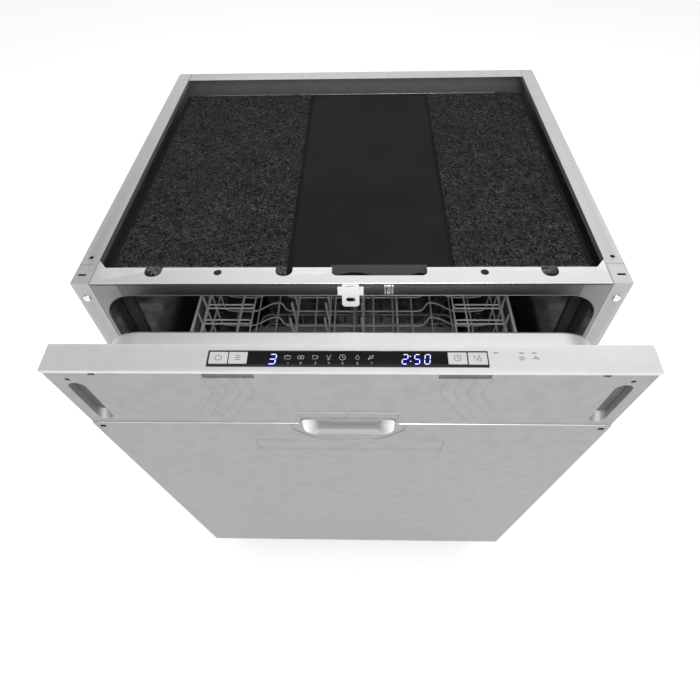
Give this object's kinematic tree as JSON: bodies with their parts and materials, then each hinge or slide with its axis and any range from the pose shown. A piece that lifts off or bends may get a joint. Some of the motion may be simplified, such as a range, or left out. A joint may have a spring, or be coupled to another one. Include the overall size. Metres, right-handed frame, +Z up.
{
  "type": "integrated dishwasher",
  "caption": "Fully integrated built-in dishwasher with a bare steel door standing ajar, controls on the door's top edge, sliding racks, spray arms, filter and adjustable feet.",
  "frame": {"origin": "centre of the overall box on the floor plane under the feet", "axes": "+X to the right seen from the front, +Y from the door to the back, +Z up"},
  "size_m": [0.598, 0.6208, 0.815],
  "materials": {
    "cabinet_steel": "galvanised sheet, satin",
    "rail_steel": "bright sheet",
    "tub_steel": "polished stainless",
    "fascia_steel": "brushed stainless",
    "liner_steel": "bright stainless",
    "door_steel": "matt galvanised sheet",
    "hinge_steel": "zinc plated",
    "spring_steel": "oiled spring steel",
    "felt": "fibrous felt",
    "bitumen": "smooth bitumen sheet",
    "seal_rubber": "matt",
    "white_plastic": "satin",
    "grey_plastic": "satin",
    "dark_plastic": "matt",
    "window_black": "gloss",
    "key_plastic": "satin",
    "board_green": "solder mask",
    "wire_coat": "nylon coated wire",
    "clear_blue": "satin"
  },
  "bodies": {
    "cabinet": {"side_panel_left": "cabinet_steel", "side_panel_right": "cabinet_steel", "front_top_rail": "rail_steel", "rear_panel": "cabinet_steel", "base_tray": "dark_plastic", "kick_plate": "cabinet_steel", "tub": "tub_steel", "tub_gasket": "seal_rubber", "felt_pads": "felt", "damping_sheet": "bitumen", "latch_strike": "white_plastic", "frame_clip": "rail_steel", "cabinet_screws": "rail_steel", "feed_pipe": "grey_plastic", "sump": "grey_plastic", "circulation_pump": "grey_plastic", "drain_pump": "dark_plastic", "filter_plate": "rail_steel", "water_softener": "white_plastic", "inlet_valve": "white_plastic", "drain_spigot": "grey_plastic", "power_inlet": "dark_plastic", "hinge_brackets": "hinge_steel", "balance_springs": "spring_steel", "rail_channels": "tub_steel"},
    "door": {"door_sheet": "door_steel", "section_plate": "door_steel", "grip_cup": "door_steel", "side_pockets": "door_steel", "control_fascia": "fascia_steel", "display_window": "window_black", "display_board": "board_green", "inner_liner": "liner_steel", "door_insulation": "felt", "dispenser_body": "grey_plastic", "door_latch": "dark_plastic", "hinge_arms": "hinge_steel"},
    "lower_rack": {"lower_rack": "wire_coat", "cutlery_basket": "grey_plastic"},
    "power_key": {"power_key": "key_plastic"},
    "programme_key": {"programme_key": "key_plastic"},
    "delay_key": {"delay_key": "key_plastic"},
    "half_load_key": {"half_load_key": "key_plastic"},
    "dispenser_lid": {"dispenser_lid": "grey_plastic"},
    "rinse_aid_cap": {"rinse_aid_cap": "clear_blue"},
    "filter_cylinder": {"filter_cylinder": "grey_plastic"},
    "salt_cap": {"salt_cap": "clear_blue"},
    "front_foot_left": {"front_foot_left": "dark_plastic"},
    "front_foot_right": {"front_foot_right": "dark_plastic"},
    "rear_foot": {"rear_foot": "dark_plastic"},
    "sliding_rails": {"sliding_rails": "rail_steel"},
    "upper_rack": {"upper_rack": "wire_coat"},
    "upper_spray_arm": {"upper_spray_arm": "grey_plastic"},
    "cup_shelf_left": {"cup_shelf_left": "wire_coat"},
    "cup_shelf_right": {"cup_shelf_right": "wire_coat"},
    "wheel_front_left": {"wheel_front_left": "white_plastic"},
    "wheel_front_right": {"wheel_front_right": "white_plastic"},
    "wheel_rear_left": {"wheel_rear_left": "white_plastic"},
    "wheel_rear_right": {"wheel_rear_right": "white_plastic"},
    "lower_spray_arm": {"lower_spray_arm": "grey_plastic"}
  },
  "joints": [
    {"name": "door_hinge", "type": "hinge", "parent": "cabinet", "child": "door", "pos_m": [0, -0.19658, 0.096], "axis": [1, 0, 0], "range_deg": [-5.8, 84.2], "stiffness_Nm_per_rad": 21, "springref_deg": -5.79},
    {"name": "power_key_press", "type": "slide", "parent": "door", "child": "power_key", "axis": [0, 0.1011, -0.9949], "range_m": [0, 0.001], "stiffness_N_per_m": 300},
    {"name": "programme_key_press", "type": "slide", "parent": "door", "child": "programme_key", "axis": [0, 0.1011, -0.9949], "range_m": [0, 0.001], "stiffness_N_per_m": 300},
    {"name": "delay_key_press", "type": "slide", "parent": "door", "child": "delay_key", "axis": [0, 0.1011, -0.9949], "range_m": [0, 0.001], "stiffness_N_per_m": 300},
    {"name": "half_load_key_press", "type": "slide", "parent": "door", "child": "half_load_key", "axis": [0, 0.1011, -0.9949], "range_m": [0, 0.001], "stiffness_N_per_m": 300},
    {"name": "dispenser_lid_slide", "type": "slide", "parent": "door", "child": "dispenser_lid", "axis": [0, 0.1011, -0.9949], "range_m": [0, 0.062]},
    {"name": "rinse_aid_cap_turn", "type": "hinge", "parent": "door", "child": "rinse_aid_cap", "pos_m": [0.046, -0.22735, 0.49292], "axis": [0, 0.9949, 0.1011], "range_deg": [0, 90]},
    {"name": "filter_turn", "type": "hinge", "parent": "cabinet", "child": "filter_cylinder", "pos_m": [0.066, 0.03542, 0.12], "axis": [0, 0, 1], "range_deg": [0, 90]},
    {"name": "salt_cap_turn", "type": "hinge", "parent": "cabinet", "child": "salt_cap", "pos_m": [-0.2, 0.18042, 0.126], "axis": [0, 0, 1], "range_deg": [0, 350]},
    {"name": "foot_left_screw", "type": "slide", "parent": "cabinet", "child": "front_foot_left", "axis": [0, 0, -1], "range_m": [0, 0.05]},
    {"name": "foot_right_screw", "type": "slide", "parent": "cabinet", "child": "front_foot_right", "axis": [0, 0, -1], "range_m": [0, 0.05]},
    {"name": "foot_rear_screw", "type": "slide", "parent": "cabinet", "child": "rear_foot", "axis": [0, 0, -1], "range_m": [0, 0.05]},
    {"name": "rail_slide", "type": "slide", "parent": "cabinet", "child": "sliding_rails", "axis": [0, -1, 0], "range_m": [-0.0155, 0.2105]},
    {"name": "upper_rack_slide", "type": "slide", "parent": "sliding_rails", "child": "upper_rack", "axis": [0, -1, 0], "range_m": [-0.0155, 0.2105]},
    {"name": "upper_arm_spin", "type": "hinge", "parent": "upper_rack", "child": "upper_spray_arm", "pos_m": [0, 0.00142, 0.49], "axis": [0, 0, 1], "continuous": true},
    {"name": "shelf_left_fold", "type": "hinge", "parent": "upper_rack", "child": "cup_shelf_left", "pos_m": [-0.2343, 0.00142, 0.598], "axis": [0, -1, 0], "range_deg": [0, 85]},
    {"name": "shelf_right_fold", "type": "hinge", "parent": "upper_rack", "child": "cup_shelf_right", "pos_m": [0.2343, 0.00142, 0.598], "axis": [0, 1, 0], "range_deg": [0, 85]},
    {"name": "lower_rack_slide", "type": "slide", "parent": "cabinet", "child": "lower_rack", "axis": [0, -1, 0], "range_m": [-0.007, 0.089]},
    {"name": "wheel_front_left_roll", "type": "hinge", "parent": "lower_rack", "child": "wheel_front_left", "pos_m": [-0.23, -0.11858, 0.1343], "axis": [1, 0, 0], "range_deg": [-26, 361]},
    {"name": "wheel_front_right_roll", "type": "hinge", "parent": "lower_rack", "child": "wheel_front_right", "pos_m": [0.23, -0.11858, 0.1343], "axis": [1, 0, 0], "range_deg": [-26, 361]},
    {"name": "wheel_rear_left_roll", "type": "hinge", "parent": "lower_rack", "child": "wheel_rear_left", "pos_m": [-0.23, 0.11542, 0.1343], "axis": [1, 0, 0], "range_deg": [-26, 361]},
    {"name": "wheel_rear_right_roll", "type": "hinge", "parent": "lower_rack", "child": "wheel_rear_right", "pos_m": [0.23, 0.11542, 0.1343], "axis": [1, 0, 0], "range_deg": [-26, 361]},
    {"name": "lower_arm_spin", "type": "hinge", "parent": "cabinet", "child": "lower_spray_arm", "pos_m": [0, 0.03542, 0.142], "axis": [0, 0, 1], "continuous": true}
  ],
  "couplings": [
    {"joint": "rail_slide", "follows": "door_hinge", "m_per_rad": 0.143},
    {"joint": "upper_rack_slide", "follows": "door_hinge", "m_per_rad": 0.143},
    {"joint": "lower_rack_slide", "follows": "door_hinge", "m_per_rad": 0.06},
    {"joint": "wheel_front_left_roll", "follows": "door_hinge", "ratio": 4.2857},
    {"joint": "wheel_front_right_roll", "follows": "door_hinge", "ratio": 4.2857},
    {"joint": "wheel_rear_left_roll", "follows": "door_hinge", "ratio": 4.2857},
    {"joint": "wheel_rear_right_roll", "follows": "door_hinge", "ratio": 4.2857}
  ]
}
